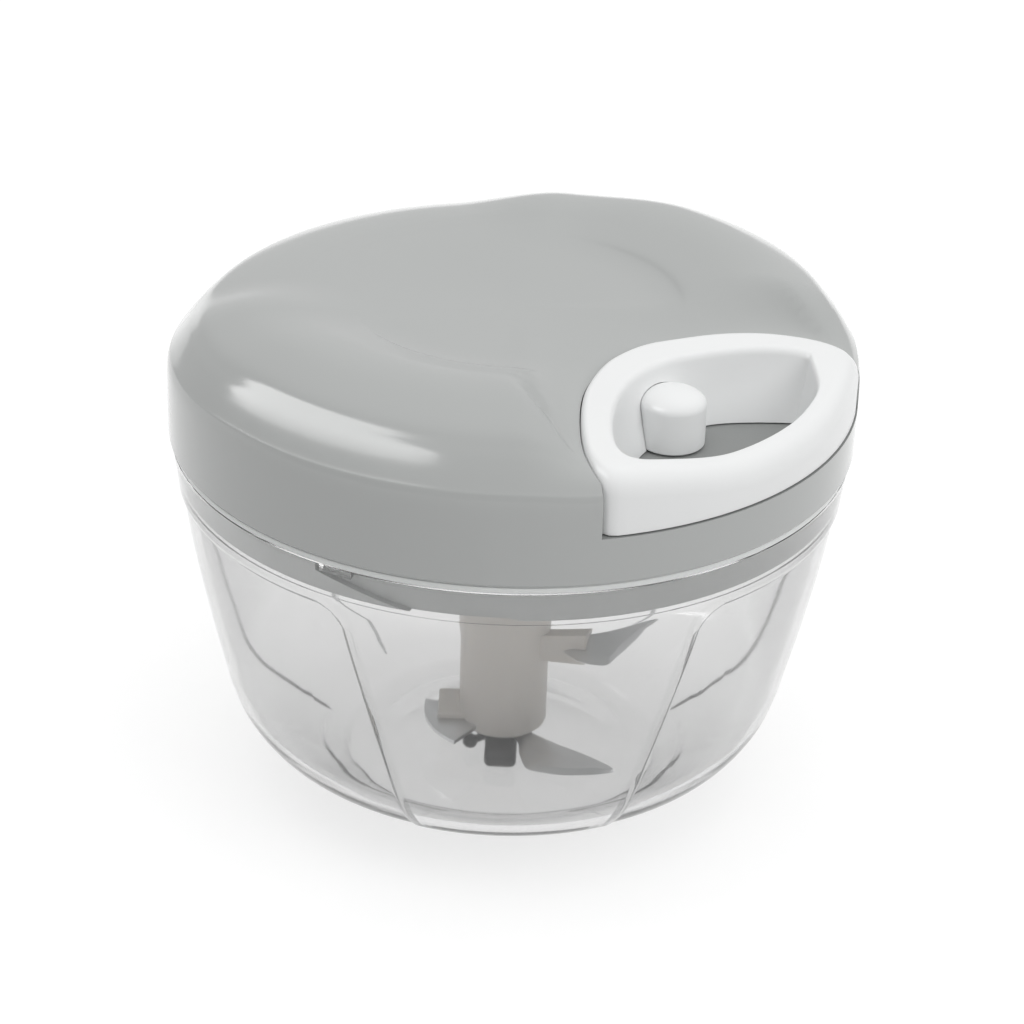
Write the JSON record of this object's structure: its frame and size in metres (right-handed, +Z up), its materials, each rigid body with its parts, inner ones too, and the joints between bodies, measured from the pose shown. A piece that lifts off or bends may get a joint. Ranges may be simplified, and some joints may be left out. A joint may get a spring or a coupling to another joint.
{
  "type": "manual food chopper",
  "caption": "Pull-cord food chopper: a clear tapered bowl, a domed lid with a set-in pull handle on a cord, and a blade column that turns as the cord is pulled.",
  "frame": {"origin": "on the table, under the centre of the bowl's base", "axes": "+Z up along the bowl's and the drive's axis, +X the way the handle is pulled, in line with the cord"},
  "size_m": [0.13, 0.13, 0.103],
  "materials": {
    "clear_plastic": "clear, glossy",
    "grey_plastic": "glossy grey",
    "white_plastic": "satin white",
    "seal_silicone": "translucent silicone",
    "natural_plastic": "uncoloured moulded plastic",
    "steel": "ground steel",
    "dark_plastic": "dark moulded plastic",
    "cord": "braided"
  },
  "bodies": {
    "bowl": {"bowl": "clear_plastic", "centre_pin": "steel"},
    "seal": {"rim_seal": "seal_silicone"},
    "lid": {"lid_shell": "grey_plastic", "base_plate": "grey_plastic", "lid_screw_1": "steel", "lid_screw_2": "steel", "lid_screw_3": "steel", "lid_screw_4": "steel", "spool_axle": "steel", "cord_eyelet": "steel", "drive_bush": "natural_plastic", "spiral_spring": "steel", "pull_cord": "cord"},
    "spool": {"spool": "natural_plastic", "spring_cover": "natural_plastic", "cord_winding": "cord"},
    "first_pawl": {"pawl_1": "steel"},
    "second_pawl": {"pawl_2": "steel"},
    "drive": {"drive_hub": "natural_plastic", "hub_clip": "steel"},
    "blades": {"blade_column": "white_plastic", "lower_blade": "steel", "middle_blade": "steel", "upper_blade": "steel", "hub_cap": "dark_plastic", "blade_pin": "dark_plastic"},
    "handle": {"handle_ring": "white_plastic", "knot_cap": "white_plastic", "cord_knot": "cord"}
  },
  "joints": [
    {"name": "lid_turn", "type": "hinge", "parent": "bowl", "child": "seal", "pos_m": [0, 0, 0.074], "axis": [0, 0, 1], "range_deg": [-85.3, 0]},
    {"name": "lid_lift", "type": "slide", "parent": "seal", "child": "lid", "axis": [0, 0, 1], "range_m": [0, 0.02]},
    {"name": "handle_pull", "type": "slide", "parent": "lid", "child": "handle", "axis": [1, 0, 0], "range_m": [0, 0.45], "stiffness_N_per_m": 15, "springref_m": -0.3, "deforming": ["pull_cord"]},
    {"name": "spool_turn", "type": "hinge", "parent": "lid", "child": "spool", "pos_m": [0, 0, 0.0819], "axis": [0, 0, 1], "range_deg": [-1640, 0], "deforming": ["spiral_spring"]},
    {"name": "drive_spin", "type": "hinge", "parent": "lid", "child": "drive", "pos_m": [0, 0, 0.0769], "axis": [0, 0, 1], "continuous": true},
    {"name": "blade_release", "type": "slide", "parent": "drive", "child": "blades", "axis": [0, 0, -1], "range_m": [0, 0.02]},
    {"name": "pawl_1_swing", "type": "hinge", "parent": "spool", "child": "first_pawl", "pos_m": [0.0085, 0, 0.08], "axis": [0, 0, 1], "range_deg": [-8, 0], "stiffness_Nm_per_rad": 0.002, "springref_deg": 11.46},
    {"name": "pawl_2_swing", "type": "hinge", "parent": "spool", "child": "second_pawl", "pos_m": [-0.0085, 0, 0.08], "axis": [0, 0, 1], "range_deg": [-8, 0], "stiffness_Nm_per_rad": 0.002, "springref_deg": 11.46}
  ],
  "couplings": [
    {"joint": "spool_turn", "follows": "handle_pull", "rad_per_m": -63.29},
    {"joint": "drive_spin", "follows": "handle_pull", "rad_per_m": -63.29},
    {"joint": "lid_turn", "follows": "lid_lift", "rad_per_m": -74.391},
    {"joint": "blade_release", "follows": "lid_lift", "ratio": 1}
  ]
}
